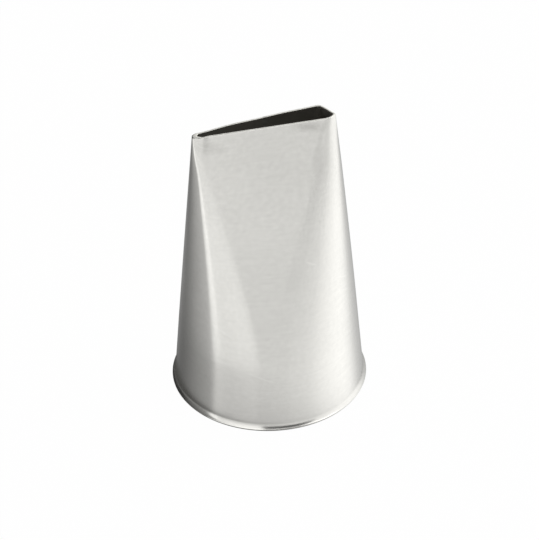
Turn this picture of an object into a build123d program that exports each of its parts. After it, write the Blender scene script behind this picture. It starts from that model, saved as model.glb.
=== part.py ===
from build123d import *
import os
from math import asin, atan2, cos, hypot, pi, radians, sin

# A rose-petal piping nozzle: one stainless sheet, rolled into a cone, butt welded up the back,
# flared at the foot and pressed to a thin teardrop mouth that is cut off at a slant.
# Origin: centre of the foot, on the surface that the nozzle stands on.
# +Z runs up the nozzle, +X towards the wide end of the mouth, -Y towards the front.

# Sheet and weld
sheet = 0.32
weld_width = 0.70
weld_crown = 0.03

# Flared foot
rim_radius = 14.0
flare_radius = 1.0
flare_sweep = radians(60)
land_width = 0.12

# Lower part, which stays a round cone up to here
round_height = 9.5

# Mouth, measured over the outside of the sheet, in the slanted plane that it is cut on
mouth_height = 43.3
mouth_slant = 11.5
narrow_reach = 10.30
narrow_corner = 0.62
narrow_offset = -0.15
tip_reach = 9.90
tip_corner = 0.92
tip_offset = -0.98
shoulder_setback = 1.60                 # the shoulder stops this far short of the tip
shoulder_corner = 1.12
shoulder_offset = 0.84

# How the round cone turns into the mouth on the way up
flattening = 1.4
section_shares = (0.25, 0.5, 0.75, 1.0)
flat_spread = radians(3)

overrun = 2.0

# The flare rolls outwards on an arc, so the foot of the cone is this much smaller than the rim
cone_radius = rim_radius - flare_radius * (1 - cos(flare_sweep))
land_trim = land_width * sin(flare_sweep) * cos(flare_sweep)
flare_height = (flare_radius + sheet) * sin(flare_sweep) - land_trim

shoulder_reach = tip_reach - shoulder_setback

# The sides of the round cone are in line with the sides that run on up to the mouth
mean_reach = (narrow_reach + tip_reach) / 2
round_share = (round_height - flare_height) / (mouth_height - flare_height)
round_radius = cone_radius + (mean_reach - cone_radius) * round_share


# Three corners of the outline at a share of the way from the round cone to the mouth,
# each as x, y and radius. The sides run up in straight lines; the front and back flatten
# more slowly at first.
def corners(share, proud):
    flat = share ** flattening
    listed = (
        (-1, narrow_reach, narrow_offset, narrow_corner),
        (1, tip_reach, tip_offset, tip_corner),
        (1, shoulder_reach, shoulder_offset, shoulder_corner),
    )
    placed = []
    for side, reach, offset, corner in listed:
        straight = round_radius + (mean_reach - round_radius) * share
        extent = straight + (reach - mean_reach) * flat
        radius = extent + (corner - extent) * flat
        placed.append((side * (extent - radius), offset * flat, radius + proud))
    return placed


# Direction in which the straight side between two corners faces
def facing(first, second):
    across = second[0] - first[0]
    along = second[1] - first[1]
    lean = asin((first[2] - second[2]) / hypot(across, along))
    return atan2(along, across) - pi / 2 + lean


def on_corner(corner, angle):
    return (corner[0] + corner[2] * cos(angle), corner[1] + corner[2] * sin(angle))


# Closed outline of arcs round the corners, joined by straight sides.
# With a spread, as on the round foot, each side is a short arc instead.
def outline(around, sides, spread):
    drawn = []
    count = len(around)
    for index in range(count):
        corner = around[index]
        following = around[(index + 1) % count]
        start = sides[index - 1] + spread
        end = sides[index] - spread
        if end < start:
            end += 2 * pi
        middle = (start + end) / 2
        turned = ThreePointArc(
            on_corner(corner, start), on_corner(corner, middle), on_corner(corner, end)
        )
        drawn.append(turned)
        leaving = on_corner(corner, end)
        meeting = on_corner(following, sides[index] + spread)
        if spread > 0:
            drawn.append(ThreePointArc(leaving, on_corner(corner, sides[index]), meeting))
        else:
            drawn.append(Line(leaving, meeting))
    return make_face(drawn)


# The sides of an outline, as the directions that they face
def side_facings(around):
    count = len(around)
    return [facing(around[index], around[(index + 1) % count]) for index in range(count)]


# Plane of the outline at a share of the way up, more and more slanted towards the mouth
def section_plane(share):
    level = round_height + (mouth_height - round_height) * share
    return Plane((0, 0, level)).rotated((0, -mouth_slant * share, 0))


# Solid form of the cone from the flare up to the mouth, grown by proud over the sheet's outside
def cone_form(proud):
    base = Cone(
        cone_radius + proud, round_radius + proud, round_height - flare_height,
        align=(Align.CENTER, Align.CENTER, Align.MIN)
    )
    round_top = [(0, 0, round_radius + proud)] * len(corners(1, proud))
    mouth_sides = side_facings(corners(1, proud))
    sections = [section_plane(0) * outline(round_top, mouth_sides, flat_spread)]
    for share in section_shares:
        around = corners(share, proud)
        sections.append(section_plane(share) * outline(around, side_facings(around), 0))
    return Pos(0, 0, flare_height) * base + loft(sections)


# Sheet of the flare: a band between two arcs, cut square at its edge and trimmed flat below
def flare_ring():
    centre = (cone_radius + flare_radius, flare_height)
    inner = flare_radius + sheet

    def on_arc(radius, turn):
        return (centre[0] - radius * cos(turn), centre[1] - radius * sin(turn))

    band = make_face([
        ThreePointArc(
            on_arc(flare_radius, 0), on_arc(flare_radius, flare_sweep / 2),
            on_arc(flare_radius, flare_sweep)
        ),
        Line(on_arc(flare_radius, flare_sweep), on_arc(inner, flare_sweep)),
        ThreePointArc(
            on_arc(inner, flare_sweep), on_arc(inner, flare_sweep / 2), on_arc(inner, 0)
        ),
        Line(on_arc(inner, 0), on_arc(flare_radius, 0)),
    ])
    ring = revolve(Plane.XZ * band, Axis.Z)
    below = Cylinder(
        rim_radius + overrun, overrun, align=(Align.CENTER, Align.CENTER, Align.MAX)
    )
    return ring - below


# Slab through the back wall only, as wide as the weld
def weld_slab():
    depth = rim_radius + overrun
    height = mouth_height + depth + overrun
    slab = Box(weld_width, depth, height, align=(Align.CENTER, Align.MIN, Align.MIN))
    return Pos(0, 0, -overrun) * slab


# Hollow of the cone, run on past the mouth so that the cut leaves a clean lip
def cone_hollow():
    form = cone_form(-sheet)
    around = corners(1, -sheet)
    lip = section_plane(1) * outline(around, side_facings(around), 0)
    return form + extrude(lip, overrun)


def nozzle_shell():
    wall = cone_form(0) - cone_hollow()
    return wall + flare_ring() - weld_slab()


def seam_weld():
    wall = cone_form(weld_crown) - cone_hollow()
    return (wall + flare_ring()) & weld_slab()


os.makedirs("parts", exist_ok=True)
for name, piece in (("nozzle_shell", nozzle_shell()), ("seam_weld", seam_weld())):
    export_step(piece, "parts/" + name + ".step")
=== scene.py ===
import math

import bmesh
import bpy
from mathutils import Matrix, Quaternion, Vector


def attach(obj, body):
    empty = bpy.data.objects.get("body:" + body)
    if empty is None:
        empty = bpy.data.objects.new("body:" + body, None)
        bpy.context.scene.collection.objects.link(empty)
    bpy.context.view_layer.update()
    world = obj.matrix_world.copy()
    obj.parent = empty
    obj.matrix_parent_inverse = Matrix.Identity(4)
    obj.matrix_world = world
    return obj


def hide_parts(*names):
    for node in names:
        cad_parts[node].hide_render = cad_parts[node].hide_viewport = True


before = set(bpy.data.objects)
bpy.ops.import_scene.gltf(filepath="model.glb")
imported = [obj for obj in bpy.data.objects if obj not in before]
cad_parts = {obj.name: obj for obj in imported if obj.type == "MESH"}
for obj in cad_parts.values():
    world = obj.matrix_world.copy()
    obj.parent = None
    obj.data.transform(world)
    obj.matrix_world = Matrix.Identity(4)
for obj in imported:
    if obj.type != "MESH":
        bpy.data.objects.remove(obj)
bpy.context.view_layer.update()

print("frame loaded:", sorted(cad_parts))

perMetre = 1000      # the forms below are worked out in millimetres

# Camera: a long lens from above the front, as in the photograph
cameraView = {
    "aim": (0.00027, 0, 0.01803),
    "azimuth": 0.0,
    "elevation": 36.94,
    "distance": 0.5,
    "lens": 235.87,      # over the sensor's width along the 540 side of the picture
    "sensor": 36,
    "roll": -1.0,
    "clip": (0.01, 20),
}


def setCamera(view):
    data = bpy.data.cameras.new("photoCamera")
    data.lens = view["lens"]
    data.sensor_width = view["sensor"]
    data.clip_start, data.clip_end = view["clip"]
    camera = bpy.data.objects.new("photoCamera", data)
    bpy.context.scene.collection.objects.link(camera)
    around, up = math.radians(view["azimuth"]), math.radians(view["elevation"])
    back = Vector((math.sin(around) * math.cos(up), -math.cos(around) * math.cos(up), math.sin(up)))
    start = Vector((0, 0, view["aim"][2])) + back * view["distance"]
    look = (Vector(view["aim"]) - start).to_track_quat("-Z", "Y")
    turned = look @ Quaternion((0, 0, 1), math.radians(view["roll"]))
    camera.location = start
    camera.rotation_mode = "QUATERNION"
    camera.rotation_quaternion = turned
    bpy.context.scene.camera = camera


setCamera(cameraView)
print("camera set")

# Form of the pressed cone, in millimetres, as in the solid that it stands for
coneForm = {
    "sheet": 0.32,
    "rimRadius": 14.0,
    "flareRadius": 1.0,
    "flareSweep": 60,
    "landWidth": 0.12,
    "roundHeight": 9.5,
    "mouthHeight": 43.3,
    "mouthSlant": 11.5,
    "flattening": 1.4,
    "narrow": (10.30, -0.15, 0.62),     # reach, offset and corner radius
    "tip": (9.90, -0.98, 0.92),
    "shoulder": (8.30, 0.84, 1.12),
    "weldWidth": 0.70,
    "columns": 256,                     # round the cone
    "weldColumns": 8,
    "wallRows": 84,                     # from the round part up to the lip
    "lowRows": 8,
    "insideRows": 48,
    "wallRun": 20,                      # edges of the section taller than this are the wall
    "lowRun": 4,                        # and taller than this its round part
    "flareSteps": 8,
    "roundingSteps": 4,
    "lipBand": 0.12,                    # a row this far below the lip keeps its rounding crisp
    "lipRounding": 0.07,
    "rimRounding": 0.10,
    "sharpAngle": 40,
    "bows": (                           # the back wall bows out: where, how wide, how far
        (-4.6, 3.4, 0.36),
        (1.8, 3.8, 0.28),
    ),
    "bowFade": 14.0,                    # how far below the lip they are gone
    "nosePinch": 0.05,                  # share by which the nose is nipped together
    "noseSquare": 0.55,                 # the front of the nose is creased instead of round
    "squareFade": 6.0,
    "squareFrom": -7.0,
    "noseWidth": 1.3,
    "noseFade": 3.0,
    "noseClosed": 0.50,                 # the two walls touch over this much more of the nose
    "facet": ((8.55, -1.92), (9.90, -0.72)),   # the front of the wide end is pressed flat here
    "facetShare": 0.75,
    "facetFade": 8.0,
    "tipForward": (8.3, 1.4, 0.25),     # the wide end leans forward: from where, over, how far
    "noseBack": 0.14,                   # the nose leans back
    "lipDip": (-8.9, 0.6, 2.0, 0.20),   # beside it the lip dips: where, how wide, down to, depth
}

sweep = math.radians(coneForm["flareSweep"])
coneRadius = coneForm["rimRadius"] - coneForm["flareRadius"] * (1 - math.cos(sweep))
landTrim = coneForm["landWidth"] * math.sin(sweep) * math.cos(sweep)
flareHeight = (coneForm["flareRadius"] + coneForm["sheet"]) * math.sin(sweep) - landTrim
meanReach = (coneForm["narrow"][0] + coneForm["tip"][0]) / 2
roundShare = (coneForm["roundHeight"] - flareHeight) / (coneForm["mouthHeight"] - flareHeight)
roundRadius = coneRadius + (meanReach - coneRadius) * roundShare
footRound = 2 * math.pi * coneForm["rimRadius"]      # one turn of the UV map, in mm


def shareAt(height):
    return (height - coneForm["roundHeight"]) / (coneForm["mouthHeight"] - coneForm["roundHeight"])


def blankRadius(height):
    # outside of the plain round cone before it is pressed
    return coneRadius + (meanReach - coneRadius) * (height - flareHeight) / (
        coneForm["mouthHeight"] - flareHeight)


def cornersAt(share, proud):
    # three corner circles of the pressed outline, as x, y and radius
    flat = share ** coneForm["flattening"]
    placed = []
    for side, name in ((-1, "narrow"), (1, "tip"), (1, "shoulder")):
        reach, offset, corner = coneForm[name]
        extent = roundRadius + (meanReach - roundRadius) * share + (reach - meanReach) * flat
        radius = extent + (corner - extent) * flat
        placed.append((side * (extent - radius), offset * flat, radius + proud))
    return placed


def facingOf(first, second):
    across, along = second[0] - first[0], second[1] - first[1]
    lean = math.asin((first[2] - second[2]) / math.hypot(across, along))
    return math.atan2(along, across) - math.pi / 2 + lean


def onCircle(circle, angle):
    x, y, radius = circle
    return Vector((x + radius * math.cos(angle), y + radius * math.sin(angle)))


def outlineRuns(share, proud):
    # arcs and straight sides in order, each with its part of the way round: half by length,
    # half by how far it turns, so that the tight corners get as many columns as the sides
    leastShare = 0.001      # below it the corners can't be told apart
    around = cornersAt(max(share, leastShare), proud)
    facings = [facingOf(around[i], around[(i + 1) % 3]) for i in range(3)]
    runs = []
    for i, corner in enumerate(around):
        start, end = facings[i - 1], facings[i]
        while end < start:
            end += 2 * math.pi
        leave, meet = onCircle(corner, end), onCircle(around[(i + 1) % 3], end)
        runs.append((corner, start, end, corner[2] * (end - start)))
        runs.append((None, leave, meet, (meet - leave).length))
    girth = sum(run[3] for run in runs)
    parts = []
    for corner, start, end, length in runs:
        turn = 0 if corner is None else (end - start) / (2 * math.pi)
        parts.append((corner, start, end, length / girth / 2 + turn / 2))
    return parts


def pointOn(parts, way):
    way = way % 1
    for corner, start, end, part in parts:
        if way <= part or corner is None and parts[-1][1] is start:
            along = min(way / part, 1) if part > 0 else 0
            if corner is None:
                return start.lerp(end, along)
            return onCircle(corner, start + (end - start) * along)
        way -= part
    return parts[-1][2]


def wayAt(parts, across):
    # the way round at which the back wall is at this x, found by halving
    low, high, halvings = -0.22, 0.10, 40
    for _ in range(halvings):
        middle = (low + high) / 2
        if pointOn(parts, middle).x > across:
            low = middle
        else:
            high = middle
    return (low + high) / 2


def fadeBelow(below, reach):
    # whole at the lip, gone at this depth below it
    return math.cos(below / reach * math.pi / 2) ** 2


def mouthDetail(point, height, radius):
    # hand-pressed unevenness of the mouth, strongest at the lip
    form = coneForm
    below = max(form["mouthHeight"] - height, 0)
    depth = min(max(blankRadius(height) - radius, 0), form["sheet"])
    inward = shift = 0
    if below < form["bowFade"] and point.y > 0:
        fade = fadeBelow(below, form["bowFade"])
        for middle, width, out in form["bows"]:
            shift += out * fade * math.exp(-((point.x - middle) / width) ** 2)
    if below < form["noseFade"] and point.x < 0:
        # the nose is nipped together, so that its last bit is closed
        away = (point.x + form["narrow"][0]) / form["noseWidth"]
        nipped = fadeBelow(below, form["noseFade"]) * math.exp(-away * away)
        shift -= form["nosePinch"] * nipped * (point.y - form["narrow"][1])
        inward = form["noseClosed"] * nipped * depth / form["sheet"]
        shift += form["noseBack"] * nipped
        if point.y < form["narrow"][1]:
            middle, width, reach, down = form["lipDip"]
            beside = math.exp(-((point.x - middle) / width) ** 2)
            shift -= down * (beside * math.exp(-(below / reach) ** 2))
    if below < form["squareFade"] and point.x < form["squareFrom"]:
        middle = cornersAt(shareAt(height), radius - blankRadius(height))[0]
        if point.x < middle[0] and point.y < middle[1]:
            fade = fadeBelow(below, form["squareFade"]) * (1 - depth / form["sheet"])
            out = min((middle[1] - point.y) / middle[2], 1)
            squared = out ** (1 - form["noseSquare"] * fade)
            shift -= middle[2] * (squared - out)
    moved = Vector((point.x + inward, point.y + shift))
    if below < form["facetFade"] and point.x > 0:
        fade = fadeBelow(below, form["facetFade"])
        start, end = (Vector(co) for co in form["facet"])
        along = (end - start).normalized()
        outward = Vector((along.y, -along.x))
        beyond = (moved - start).dot(outward) + depth
        if beyond > 0:
            moved -= outward * beyond * form["facetShare"] * fade
        leanFrom, leanOver, lean = form["tipForward"]
        near = min(max((point.x - leanFrom) / leanOver, 0), 1)
        moved.y -= lean * fade * near * near * (3 - 2 * near)
    return moved


rowsMade = {}


def rowOf(height, radius):
    # everything that one row of the blank needs, worked out once
    key = (round(height, 3), round(radius, 3))
    if key not in rowsMade:
        half = coneForm["weldWidth"] / 2
        share = shareAt(height)
        if share <= 0:
            edge = math.asin(half / radius)
            rowsMade[key] = (None, edge, radius)
        else:
            parts = outlineRuns(share, radius - blankRadius(height))
            rowsMade[key] = (parts, wayAt(parts, -half), wayAt(parts, half))
    return rowsMade[key]


def pressed(height, radius, turned):
    # where a point of the round blank lies after pressing; turned runs 0 to 1 from one edge of
    # the weld round the front to the other
    parts, first, last = rowOf(height, radius)
    if parts is None:
        angle = math.pi / 2 + first + (2 * math.pi - 2 * first) * turned
        return Vector((radius * math.cos(angle), radius * math.sin(angle), height))
    flat = mouthDetail(pointOn(parts, first + (1 + last - first) * turned), height, radius)
    return slanted(flat, height)


def slanted(flat, height):
    tilt = math.radians(coneForm["mouthSlant"]) * max(shareAt(height), 0)
    return Vector((flat.x * math.cos(tilt), flat.y, height + flat.x * math.sin(tilt)))


def weldPoint(height, radius, turned, crown):
    # the weld lies between the two edges of the sheet, at the back
    half = coneForm["weldWidth"] / 2
    across = half - 2 * half * turned
    parts, first, last = rowOf(height, radius)
    rise = crown * (1 - (2 * turned - 1) ** 2)
    if parts is None:
        return Vector((across, math.sqrt(radius * radius - across * across) + rise, height))
    flat = mouthDetail(pointOn(parts, wayAt(parts, across)), height, radius)
    flat.y += rise
    return slanted(flat, height)


def sheetSection():
    # closed section of the sheet in the round blank: foot land, flare, wall, lip and back down
    form = coneForm
    centre = Vector((coneRadius + form["flareRadius"], flareHeight))
    inner = form["flareRadius"] + form["sheet"]

    def onFlare(radius, turn):
        return (centre.x - radius * math.cos(turn), centre.y - radius * math.sin(turn))

    landTurn = math.asin(flareHeight / inner)
    edgeLow = onFlare(inner, sweep)
    landOuter = edgeLow[0] - edgeLow[1] / math.tan(sweep)
    sheet, lip, foot, steps = (form[key] for key in (
        "sheet", "mouthHeight", "roundHeight", "flareSteps"))
    band = lip - form["lipBand"]
    points = [(landOuter, 0)]
    points += [onFlare(form["flareRadius"], sweep * (1 - step / steps))
               for step in range(steps + 1)]
    points += [(blankRadius(foot), foot), (blankRadius(band), band)]
    lipOuter = len(points)
    points += [(blankRadius(lip), lip), (blankRadius(lip) - sheet, lip)]
    points += [(blankRadius(band) - sheet, band), (blankRadius(foot) - sheet, foot)]
    points += [onFlare(inner, landTurn * step / steps) for step in range(steps + 1)]
    section = bmesh.new()
    corners = [section.verts.new((x, 0, z)) for x, z in points]
    section.faces.new(corners)
    lipSize, rimSize = form["lipRounding"], form["rimRounding"]
    rounded = [(corners[lipOuter], lipSize), (corners[lipOuter + 1], lipSize),
               (corners[1], rimSize), (corners[0], rimSize / 2)]
    for corner, size in rounded:
        bmesh.ops.bevel(section, geom=[corner], offset=size, offset_type="OFFSET",
                        segments=form["roundingSteps"], profile=0.5, affect="VERTICES",
                        material=-1)
    bmesh.ops.delete(section, geom=section.faces[:], context="FACES_ONLY")
    for edge in section.edges[:]:
        low, high = sorted((edge.verts[0].co, edge.verts[1].co), key=lambda co: co.z)
        outside = (low.x + high.x) / 2 > blankRadius((low.z + high.z) / 2) - sheet / 2
        cuts = 0
        if high.z - low.z > form["wallRun"]:
            cuts = form["wallRows"] if outside else form["insideRows"]
        elif high.z - low.z > form["lowRun"]:
            cuts = form["lowRows"]
        if cuts:
            bmesh.ops.subdivide_edges(section, edges=[edge], cuts=cuts)
    return section


def swept(section, angle, steps):
    # the section spun round the axis by this angle and closed at both ends
    bmesh.ops.spin(section, geom=section.verts[:] + section.edges[:], axis=(0, 0, 1),
                   cent=(0, 0, 0), angle=angle, steps=steps, use_merge=False)
    bmesh.ops.holes_fill(section, edges=[e for e in section.edges if e.is_boundary], sides=0)
    bmesh.ops.recalc_face_normals(section, faces=section.faces[:])
    return section


def turnedShare(co, angle):
    turned = math.atan2(co.y, co.x)
    if turned < -(2 * math.pi - angle) / 2:
        turned += 2 * math.pi
    return min(max(turned / angle, 0), 1)


def placeMesh(name, mesh, materials):
    data = bpy.data.meshes.new(name)
    mesh.to_mesh(data)
    mesh.free()
    for material in materials:
        data.materials.append(material)
    placed = bpy.data.objects.new(name, data)
    bpy.context.scene.collection.objects.link(placed)
    return placed


def finishPiece(name, mesh, materials):
    bmesh.ops.scale(mesh, vec=[1 / perMetre] * 3, verts=mesh.verts[:])
    for face in mesh.faces:
        face.smooth = True
    piece = placeMesh(name, mesh, materials)
    piece.data.set_sharp_from_angle(angle=math.radians(coneForm["sharpAngle"]))
    return piece


# Where the sheet was sheared, in mm: this near the lip and the land, and at the rim's edge
cutBand = {"lip": 0.02, "land": 0.01, "rimHeight": 0.20, "rimWidth": 0.14}
outsideSlot, insideSlot, edgeSlot = 0, 1, 2


def finishOf(radius, height):
    # material slot of a face by its place in the blank
    sheet, lip = coneForm["sheet"], coneForm["mouthHeight"]
    if height > lip - cutBand["lip"] or height < cutBand["land"]:
        return edgeSlot
    if height < cutBand["rimHeight"] and radius > coneForm["rimRadius"] - cutBand["rimWidth"]:
        return edgeSlot
    if height < flareHeight:
        centre = coneRadius + coneForm["flareRadius"]
        away = math.hypot(centre - radius, flareHeight - height)
        return outsideSlot if away < coneForm["flareRadius"] + sheet / 2 else insideSlot
    return outsideSlot if radius > blankRadius(height) - sheet / 2 else insideSlot


def linearColour(code):
    # sRGB hex to linear
    parts = [int(code[i:i + 2], 16) / 255 for i in (1, 3, 5)]
    parts = [p / 12.92 if p <= 0.04045 else ((p + 0.055) / 1.055) ** 2.4 for p in parts]
    return (*parts, 1)


def addNode(tree, kind, settings=None, inputs=None, links=None):
    # one node with its settings, its socket values and its links
    node = tree.nodes.new(kind)
    for name, value in (settings or {}).items():
        setattr(node, name, value)
    for name, value in (inputs or {}).items():
        node.inputs[name].default_value = value
    for name, (source, output) in (links or {}).items():
        tree.links.new(source.outputs[output], node.inputs[name])
    return node


def newMaterial(name):
    material = bpy.data.materials.new(name)
    material.use_nodes = True
    material.node_tree.nodes.clear()
    return material, material.node_tree


def tintBetween(tree, finish, source, output):
    # colour from the finish's dark to its light, led by one output
    tint = addNode(tree, "ShaderNodeMix", {"data_type": "RGBA"},
                   links={"Factor": (source, output)})
    tint.inputs["A"].default_value = linearColour(finish["dark"])
    tint.inputs["B"].default_value = linearColour(finish["light"])
    return tint


def roughBetween(tree, finish, noise):
    # roughness that drifts with a noise, most of which lies between these two values
    return addNode(tree, "ShaderNodeMapRange", inputs={
        "From Min": 0.35, "From Max": 0.65, "To Min": finish["roughness"][0],
        "To Max": finish["roughness"][1]}, links={"Value": (noise, "Fac")})


def flatNoise(tree, place, output, scale, detail, roughness=0.5):
    # noise over the UV map
    return addNode(tree, "ShaderNodeTexNoise", {"noise_dimensions": "2D"}, {
        "Scale": scale, "Detail": detail, "Roughness": roughness}, {"Vector": (place, output)})


def drawnOut(tree, place, output, length, spacing):
    # the UV map scaled so that one cell is this long round the cone and this high, in mm
    return addNode(tree, "ShaderNodeMapping", inputs={
        "Scale": (footRound / length, footRound / spacing, 1)},
        links={"Vector": (place, output)})


def steelOutput(tree, settings, links):
    steel = addNode(tree, "ShaderNodeBsdfPrincipled", inputs={"Metallic": 1, **settings},
                    links=links)
    addNode(tree, "ShaderNodeOutputMaterial", links={"Surface": (steel, "BSDF")})


# Stainless steel sheet, polished and then brushed round the cone: a satin grey that is clear
# from side to side and drawn out up and down, with faint lines and a few scratches
brushedFinish = {
    "light": "#cdccc8",
    "dark": "#c7c6c2",
    "scratched": "#d8d7d3",
    "roughness": (0.18, 0.22),
    "anisotropy": 0.9,
    "anisotropyTurn": 0.25,  # of a whole turn from the way round
    "lineLength": 5.0,       # mm
    "lineSpacing": 0.24,     # mm; real ones are ten times finer, which wouldn't show
    "bandLength": 15.0,      # mm
    "bandSpacing": 1.1,      # mm
    "bandPart": 0.25,
    "mottlePart": 0.45,
    "grainSpan": (0.3, 0.7),
    "blotch": 3.5,           # mm
    "mottle": 0.7,           # mm
    # grey of the painted dark reflections listed next
    "paintedReflectionGrey": "#8f8e8a",
    "paintedDarkReflections": (              # painted dark reflections under the lip and over the upper front: middle and half size in mm, strength
        ((5.9, -2.1, 43.9), (2.6, 1.5, 0.9), 0.42),
        ((-7.6, -1.8, 40.2), (3.0, 2.0, 0.9), 0.20),
        ((0.0, -3.0, 42.5), (16.0, 8.0, 13.0), 0.17),
    ),
    "reflectionRaggedness": 0.4,
    "reflectionEdge": (1.3, 0.4), # where a painted reflection starts and where it is whole, in half sizes
    "scratchLength": 11.0,   # mm
    "scratchSpacing": 0.45,  # mm
    "scratchTilt": 20,       # degrees
    "scratchSpan": (0.86, 0.92),
    "scratchPart": 0.4,
    "lineRelief": (0.12, 0.000002),
}


def brushedStainless(finish):
    material, tree = newMaterial("brushedStainless")
    uv = addNode(tree, "ShaderNodeUVMap", {"uv_map": "aroundAndUp"})
    lines = drawnOut(tree, uv, "UV", finish["lineLength"], finish["lineSpacing"])
    lineNoise = flatNoise(tree, lines, "Vector", 1, 2, 0.6)
    bands = drawnOut(tree, uv, "UV", finish["bandLength"], finish["bandSpacing"])
    bandNoise = flatNoise(tree, bands, "Vector", 1, 3)
    blotches = flatNoise(tree, uv, "UV", footRound / finish["blotch"], 3, 0.55)
    mottles = flatNoise(tree, uv, "UV", footRound / finish["mottle"], 2)
    grain = addNode(tree, "ShaderNodeMix", {"data_type": "FLOAT"}, {"Factor": finish["bandPart"]},
                    {"A": (lineNoise, "Fac"), "B": (bandNoise, "Fac")})
    worn = addNode(tree, "ShaderNodeMix", {"data_type": "FLOAT"}, {"Factor": finish["mottlePart"]},
                   {"A": (grain, "Result"), "B": (mottles, "Fac")})
    shade = addNode(tree, "ShaderNodeMapRange", inputs={
        "From Min": finish["grainSpan"][0], "From Max": finish["grainSpan"][1]},
        links={"Value": (worn, "Result")})
    colour = tintBetween(tree, finish, shade, "Result")
    tilted = addNode(tree, "ShaderNodeMapping", inputs={
        "Rotation": (0, 0, math.radians(finish["scratchTilt"]))}, links={"Vector": (uv, "UV")})
    drawn = drawnOut(tree, tilted, "Vector", finish["scratchLength"], finish["scratchSpacing"])
    scratchNoise = flatNoise(tree, drawn, "Vector", 1, 0)
    scratches = addNode(tree, "ShaderNodeMapRange", inputs={
        "From Min": finish["scratchSpan"][0], "From Max": finish["scratchSpan"][1],
        "To Max": finish["scratchPart"]}, links={"Value": (scratchNoise, "Fac")})
    marked = addNode(tree, "ShaderNodeMix", {"data_type": "RGBA"}, links={
        "Factor": (scratches, "Result"), "A": (colour, "Result")})
    marked.inputs["B"].default_value = linearColour(finish["scratched"])
    place = addNode(tree, "ShaderNodeTexCoord")
    # painted dark reflections: soft, ragged patches of grey under the lip and over the upper front,
    # mixed into the colour
    for middle, half, strength in finish["paintedDarkReflections"]:
        away = addNode(tree, "ShaderNodeVectorMath", {"operation": "SUBTRACT"}, {
            1: [co / perMetre for co in middle]}, {0: (place, "Object")})
        scaled = addNode(tree, "ShaderNodeVectorMath", {"operation": "MULTIPLY"}, {
            1: [perMetre / co for co in half]}, {0: (away, "Vector")})
        length = addNode(tree, "ShaderNodeVectorMath", {"operation": "LENGTH"}, links={
            0: (scaled, "Vector")})
        ragged = addNode(tree, "ShaderNodeMath", {"operation": "MULTIPLY_ADD"}, {
            1: finish["reflectionRaggedness"]}, {0: (mottles, "Fac"), 2: (length, "Value")})
        darkReflection = addNode(tree, "ShaderNodeMapRange", inputs={
            "From Min": finish["reflectionEdge"][0], "From Max": finish["reflectionEdge"][1],
            "To Max": strength}, links={"Value": (ragged, "Value")})
        marked = addNode(tree, "ShaderNodeMix", {"data_type": "RGBA"}, links={
            "Factor": (darkReflection, "Result"), "A": (marked, "Result")})
        marked.inputs["B"].default_value = linearColour(finish["paintedReflectionGrey"])
    rough = roughBetween(tree, finish, blotches)
    strength, distance = finish["lineRelief"]
    bump = addNode(tree, "ShaderNodeBump", inputs={"Strength": strength, "Distance": distance},
                   links={"Height": (grain, "Result")})
    tangent = addNode(tree, "ShaderNodeTangent",
                      {"direction_type": "UV_MAP", "uv_map": "aroundAndUp"})
    steelOutput(tree, {"Anisotropic": finish["anisotropy"],
                       "Anisotropic Rotation": finish["anisotropyTurn"]},
                {"Base Color": (marked, "Result"), "Roughness": (rough, "Result"),
                 "Normal": (bump, "Normal"), "Tangent": (tangent, "Tangent")})
    return material


# The same sheet inside, left as it was rolled: duller and darker, with patches worn by icing
insideFinish = {"light": "#b9b6af", "dark": "#a09d96", "roughness": (0.36, 0.46), "patch": 5.0}


def rolledStainless(finish):
    material, tree = newMaterial("rolledStainless")
    uv = addNode(tree, "ShaderNodeUVMap", {"uv_map": "aroundAndUp"})
    patches = flatNoise(tree, uv, "UV", footRound / finish["patch"], 4)
    colour = tintBetween(tree, finish, patches, "Fac")
    rough = roughBetween(tree, finish, patches)
    steelOutput(tree, {}, {"Base Color": (colour, "Result"), "Roughness": (rough, "Result")})
    return material


# Sheared and tumbled edge of the sheet at the lip and the foot: bright on its high spots
edgeFinish = {"light": "#d2d1cb", "dark": "#a9a8a3", "roughness": 0.3, "nick": 0.8,
              "relief": (0.3, 0.00001)}


def cutStainless(finish):
    material, tree = newMaterial("cutStainless")
    place = addNode(tree, "ShaderNodeTexCoord")
    nicks = addNode(tree, "ShaderNodeTexNoise", inputs={
        "Scale": perMetre / finish["nick"], "Detail": 3}, links={"Vector": (place, "Object")})
    colour = tintBetween(tree, finish, nicks, "Fac")
    strength, distance = finish["relief"]
    bump = addNode(tree, "ShaderNodeBump", inputs={"Strength": strength, "Distance": distance},
                   links={"Height": (nicks, "Fac")})
    steelOutput(tree, {"Roughness": finish["roughness"]},
                {"Base Color": (colour, "Result"), "Normal": (bump, "Normal")})
    return material


# Weld bead, ground back nearly flush: greyer than the sheet, with the ripples left showing
weldFinish = {
    "light": "#b9b8b3",
    "dark": "#9d9b96",
    "roughness": 0.38,
    "ripple": 0.55,          # mm from crest to trough
    "rippleWobble": 1.5,
    "grain": 0.4,            # mm
    "relief": (0.5, 0.00001),
    "crown": 0.03,           # mm proud of the sheet
    "crownRise": 2.0,        # mm above the flare by which the crown is whole
    "skin": 0.02,            # mm below the outside that still count as outside
}


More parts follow.
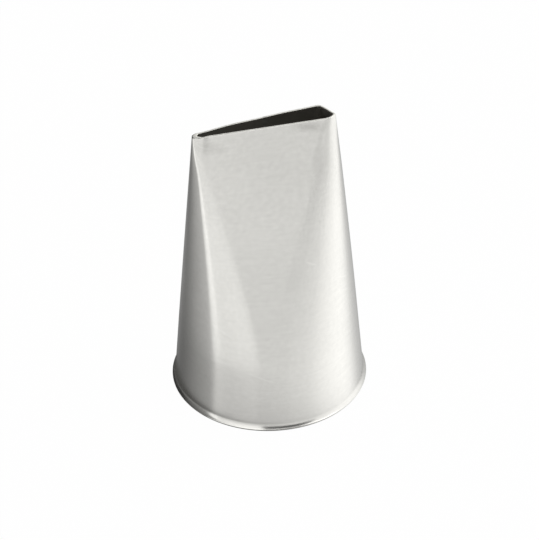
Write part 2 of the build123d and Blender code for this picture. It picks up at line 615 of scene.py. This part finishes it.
def groundWeld(finish):
    material, tree = newMaterial("groundWeld")
    place = addNode(tree, "ShaderNodeTexCoord")
    grain = addNode(tree, "ShaderNodeTexNoise", inputs={
        "Scale": perMetre / finish["grain"], "Detail": 4}, links={"Vector": (place, "Object")})
    waveScale = perMetre / finish["ripple"] / 20 * math.pi      # a wave turns 20 radians per unit
    ripples = addNode(tree, "ShaderNodeTexWave", {"bands_direction": "Z"}, {
        "Scale": waveScale, "Distortion": finish["rippleWobble"]}, {"Vector": (place, "Object")})
    mixed = addNode(tree, "ShaderNodeMix", {"data_type": "FLOAT"}, {"Factor": 0.5}, {
        "A": (ripples, "Fac"), "B": (grain, "Fac")})
    colour = tintBetween(tree, finish, mixed, "Result")
    strength, distance = finish["relief"]
    bump = addNode(tree, "ShaderNodeBump", inputs={"Strength": strength, "Distance": distance},
                   links={"Height": (mixed, "Result")})
    steelOutput(tree, {"Roughness": finish["roughness"]},
                {"Base Color": (colour, "Result"), "Normal": (bump, "Normal")})
    return material


outsideSteel = brushedStainless(brushedFinish)
insideSteel = rolledStainless(insideFinish)
edgeSteel = cutStainless(edgeFinish)
weldSteel = groundWeld(weldFinish)
print("materials made")


weldTurn = 2 * math.asin(coneForm["weldWidth"] / 2 / coneForm["rimRadius"])


def makeShell():
    angle = 2 * math.pi - weldTurn
    shell = swept(sheetSection(), angle, coneForm["columns"])
    uv = shell.loops.layers.uv.new("aroundAndUp")     # both in turns of the foot
    for face in shell.faces:
        middle = face.calc_center_median()
        face.material_index = finishOf(math.hypot(middle.x, middle.y), middle.z)
        for loop in face.loops:
            co = loop.vert.co
            loop[uv].uv = (turnedShare(co, angle), co.z / footRound)
    for vert in shell.verts:
        radius = math.hypot(vert.co.x, vert.co.y)
        vert.co = pressed(vert.co.z, radius, turnedShare(vert.co, angle))
    return finishPiece("pressedShell", shell, [outsideSteel, insideSteel, edgeSteel])


def makeWeld():
    weld = swept(sheetSection(), weldTurn, coneForm["weldColumns"])
    for vert in weld.verts:
        height, radius = vert.co.z, math.hypot(vert.co.x, vert.co.y)
        outside = height > flareHeight and radius > blankRadius(height) - weldFinish["skin"]
        grown = min((height - flareHeight) / weldFinish["crownRise"], 1)
        rise = weldFinish["crown"] * grown if outside else 0
        vert.co = weldPoint(height, radius, turnedShare(vert.co, weldTurn), rise)
    return finishPiece("weldBead", weld, [weldSteel])


shell = makeShell()
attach(shell, "root")
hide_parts("nozzle_shell")
weld = makeWeld()
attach(weld, "root")
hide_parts("seam_weld")
print("shell and weld made:", len(shell.data.polygons), len(weld.data.polygons), "faces")

# Plain white floor and room. What the steel mirrors is a room with a large soft light at the
# right, a pale ceiling and back wall, a grey card at the left and a dark camera stand in front
room = {
    "floorSize": 6.0,
    "floorColour": "#f4f4f2",
    "fibreColour": "#fbfbfa",
    "fibreScale": 900,
    "seenWhite": 0.98,       # part of the floor's look that is plain white
    "dimWorld": 0.45,
    "rampTop": 2,            # brightest level that the ramp can hold
    "leastLevel": 0.05,
    "round": (               # degrees from the front, rightwards, and how bright
        (-180, 0.42), (-160, 0.34), (-149, 0.29), (-137, 0.25), (-125, 0.31), (-113, 0.40),
        (-101, 0.52), (-89, 0.62), (-73, 0.76), (-68, 1.24), (-63, 1.27), (-57, 1.20),
        (-50, 1.15), (-20, 1.14), (-12, 1.07), (18, 1.08), (28, 1.13), (40, 1.17), (50, 1.24),
        (61, 1.38), (73, 1.50), (85, 1.62), (100, 1.68), (112, 1.60), (121, 1.36), (131, 1.02),
        (140, 0.82), (150, 0.72), (165, 0.55), (180, 0.42),
    ),
    "panels": (              # from and to degrees round, from and to degrees up, soft edge, level
        ("overhead", -200, 200, 64, 100, 12, 0.5),
        ("backWallLeft", -200, -162, 32, 60, 8, 1.1),
        ("backWallLow", -200, -171, -25, 28, 8, 1.1),
        ("backWallRight", 170, 200, -25, 60, 8, 1.1),
        ("leftCard", -154, -76, 0, 62, 8, -0.35),
        ("cameraStand", -6, 48, 21, 82, 5, -1.0),
        ("frontWindow", -50, -14, 20, 62, 8, 0.35),
        ("frontReflector", -64, -14, -12, -2, 6, 0.20),
        ("creaseLight", -69, -61, -17, 60, 3, 0.30),
    ),
}


def softPanel(tree, around, up, panel):
    # level of one soft-edged panel, as seen in a direction
    name, left, right, low, high, soft, level = panel
    edges = []
    for source, near, far in ((around, left - soft, left), (around, right + soft, right),
                              (up, low - soft, low), (up, high + soft, high)):
        edges.append(addNode(tree, "ShaderNodeMapRange", {"interpolation_type": "SMOOTHSTEP"}, {
            "From Min": near, "From Max": far}, {"Value": (source, "Value")}))
    joined = edges[0]
    for edge in edges[1:]:
        output = "Result" if joined is edges[0] else "Value"
        joined = addNode(tree, "ShaderNodeMath", {"operation": "MULTIPLY"}, links={
            0: (joined, output), 1: (edge, "Result")})
    return addNode(tree, "ShaderNodeMath", {"operation": "MULTIPLY", "label": name},
                   {1: level}, {0: (joined, "Value")})


def setRoom(values):
    world = bpy.data.worlds.new("whiteRoom")
    bpy.context.scene.world = world
    world.use_nodes = True
    tree = world.node_tree
    tree.nodes.clear()
    place = addNode(tree, "ShaderNodeTexCoord")
    turned = addNode(tree, "ShaderNodeMapping", inputs={"Rotation": (0, 0, math.pi / 2)},
                     links={"Vector": (place, "Generated")})
    radial = addNode(tree, "ShaderNodeTexGradient", {"gradient_type": "RADIAL"},
                     links={"Vector": (turned, "Vector")})
    ramp = addNode(tree, "ShaderNodeValToRGB", links={"Fac": (radial, "Fac")})
    stops = ramp.color_ramp.elements
    while len(stops) > 1:
        stops.remove(stops[-1])
    for index, (degrees, level) in enumerate(values["round"]):
        spot = 0.5 + degrees / 360
        stop = stops[0] if index == 0 else stops.new(spot)
        stop.position = spot
        stop.color = (*[level / values["rampTop"]] * 3, 1)
    around = addNode(tree, "ShaderNodeMath", {"operation": "MULTIPLY_ADD"}, {1: 360, 2: -180},
                     {0: (radial, "Fac")})
    parts = addNode(tree, "ShaderNodeSeparateXYZ", links={"Vector": (place, "Generated")})
    rise = addNode(tree, "ShaderNodeMath", {"operation": "ARCSINE"}, links={0: (parts, "Z")})
    up = addNode(tree, "ShaderNodeMath", {"operation": "MULTIPLY"}, {1: 180 / math.pi},
                 {0: (rise, "Value")})
    bright = addNode(tree, "ShaderNodeMath", {"operation": "MULTIPLY"}, {1: values["rampTop"]},
                     {0: (ramp, "Color")})
    for panel in values["panels"]:
        part = softPanel(tree, around, up, panel)
        bright = addNode(tree, "ShaderNodeMath", {"operation": "ADD"}, links={
            0: (bright, "Value"), 1: (part, "Value")})
    bright = addNode(tree, "ShaderNodeMath", {"operation": "MAXIMUM"}, {
        1: values["leastLevel"]}, {0: (bright, "Value")})
    path = addNode(tree, "ShaderNodeLightPath")
    white = addNode(tree, "ShaderNodeBackground", inputs={"Color": (1, 1, 1, 1), "Strength": 1})
    dim = addNode(tree, "ShaderNodeBackground", inputs={
        "Color": (1, 1, 1, 1), "Strength": values["dimWorld"]})
    mirrored = addNode(tree, "ShaderNodeBackground", inputs={"Color": (1, 1, 1, 1)},
                       links={"Strength": (bright, "Value")})
    seen = addNode(tree, "ShaderNodeMath", {"operation": "MAXIMUM"}, links={
        0: (path, "Is Camera Ray"), 1: (path, "Is Transmission Ray")})
    first = addNode(tree, "ShaderNodeMixShader", links={
        "Fac": (path, "Is Glossy Ray"), 1: (dim, 0), 2: (mirrored, 0)})
    second = addNode(tree, "ShaderNodeMixShader", links={
        "Fac": (seen, "Value"), 1: (first, 0), 2: (white, 0)})
    addNode(tree, "ShaderNodeOutputWorld", links={"Surface": (second, 0)})


def paperWhite(values):
    # matt white paper: plain white to the camera, with the object's soft shadow kept
    material, tree = newMaterial("whitePaper")
    path = addNode(tree, "ShaderNodeLightPath")
    place = addNode(tree, "ShaderNodeTexCoord")
    fibre = addNode(tree, "ShaderNodeTexNoise", inputs={
        "Scale": values["fibreScale"], "Detail": 4}, links={"Vector": (place, "Object")})
    tints = {"dark": values["floorColour"], "light": values["fibreColour"]}
    colour = tintBetween(tree, tints, fibre, "Fac")
    paper = addNode(tree, "ShaderNodeBsdfDiffuse", links={"Color": (colour, "Result")})
    glow = addNode(tree, "ShaderNodeEmission", inputs={"Color": (1, 1, 1, 1), "Strength": 1})
    seen = addNode(tree, "ShaderNodeMath", {"operation": "ADD", "use_clamp": True}, links={
        0: (path, "Is Camera Ray"), 1: (path, "Is Glossy Ray")})
    through = addNode(tree, "ShaderNodeMath", {"operation": "ADD", "use_clamp": True}, links={
        0: (seen, "Value"), 1: (path, "Is Transmission Ray")})
    part = addNode(tree, "ShaderNodeMath", {"operation": "MULTIPLY"}, {1: values["seenWhite"]},
                   {0: (through, "Value")})
    mixed = addNode(tree, "ShaderNodeMixShader", links={
        "Fac": (part, "Value"), 1: (paper, 0), 2: (glow, 0)})
    addNode(tree, "ShaderNodeOutputMaterial", links={"Surface": (mixed, 0)})
    return material


def makeFloor(values):
    mesh = bmesh.new()
    bmesh.ops.create_grid(mesh, x_segments=4, y_segments=4, size=values["floorSize"] / 2)
    floor = placeMesh("floor", mesh, [paperWhite(values)])
    floor.visible_glossy = False     # the steel mirrors the room and the shades instead


# Where little light reaches the paper: under the nozzle and close round its foot, more so at
# the left. Only the steel sees these. Lengths are in mm
shades = {
    "footShade": {"centre": (-0.9, -0.3), "radius": 15.2, "full": 13.6, "depth": 1.0,
                  "colour": "#585856", "lift": 0.01},
    "contactShade": {"centre": (-11, -5), "radius": 32.0, "full": 8.0, "depth": 0.30,
                     "colour": "#1c1c1c", "lift": 0.005},
}


def makeShade(name, values):
    material, tree = newMaterial(name + "Paper")
    colour = linearColour(values["colour"])
    glow = addNode(tree, "ShaderNodeEmission", inputs={"Color": colour, "Strength": 1})
    across, along = values["centre"]
    middle = (across / perMetre, along / perMetre, values["lift"] / perMetre)
    place = addNode(tree, "ShaderNodeTexCoord")
    away = addNode(tree, "ShaderNodeVectorMath", {"operation": "DISTANCE"}, {1: middle},
                   {0: (place, "Object")})
    soft = addNode(tree, "ShaderNodeMapRange", {"interpolation_type": "SMOOTHSTEP"}, {
        "From Min": values["radius"] / perMetre, "From Max": values["full"] / perMetre,
        "To Min": 0, "To Max": values["depth"]}, {"Value": (away, "Value")})
    clear = addNode(tree, "ShaderNodeBsdfTransparent")
    mixed = addNode(tree, "ShaderNodeMixShader", links={
        "Fac": (soft, "Result"), 1: (clear, 0), 2: (glow, 0)})
    addNode(tree, "ShaderNodeOutputMaterial", links={"Surface": (mixed, 0)})
    mesh = bmesh.new()
    bmesh.ops.create_circle(mesh, cap_ends=True, segments=96, radius=values["radius"] / perMetre)
    bmesh.ops.translate(mesh, vec=middle, verts=mesh.verts[:])
    shade = placeMesh(name, mesh, [material])
    shade.visible_camera = shade.visible_diffuse = shade.visible_shadow = False


lamps = {
    "overhead": {"place": (0.25, 0.15, 1.2), "aim": (0, 0, 0.02), "size": 1.1, "power": 7.0},
}


def makeLamps(values):
    for name, lamp in values.items():
        data = bpy.data.lights.new(name, "AREA")
        data.shape = "SQUARE"
        data.size = lamp["size"]
        data.energy = lamp["power"]
        light = bpy.data.objects.new(name, data)
        light.location = lamp["place"]
        aim = Vector(lamp["aim"]) - Vector(lamp["place"])
        light.rotation_mode = "QUATERNION"
        light.rotation_quaternion = aim.to_track_quat("-Z", "Y")
        bpy.context.scene.collection.objects.link(light)


setRoom(room)
makeFloor(room)
for shadeName, shadeValues in shades.items():
    makeShade(shadeName, shadeValues)
makeLamps(lamps)
bpy.context.scene.view_settings.view_transform = "Standard"
print("floor, room and lamp set")

bpy.context.view_layer.update()
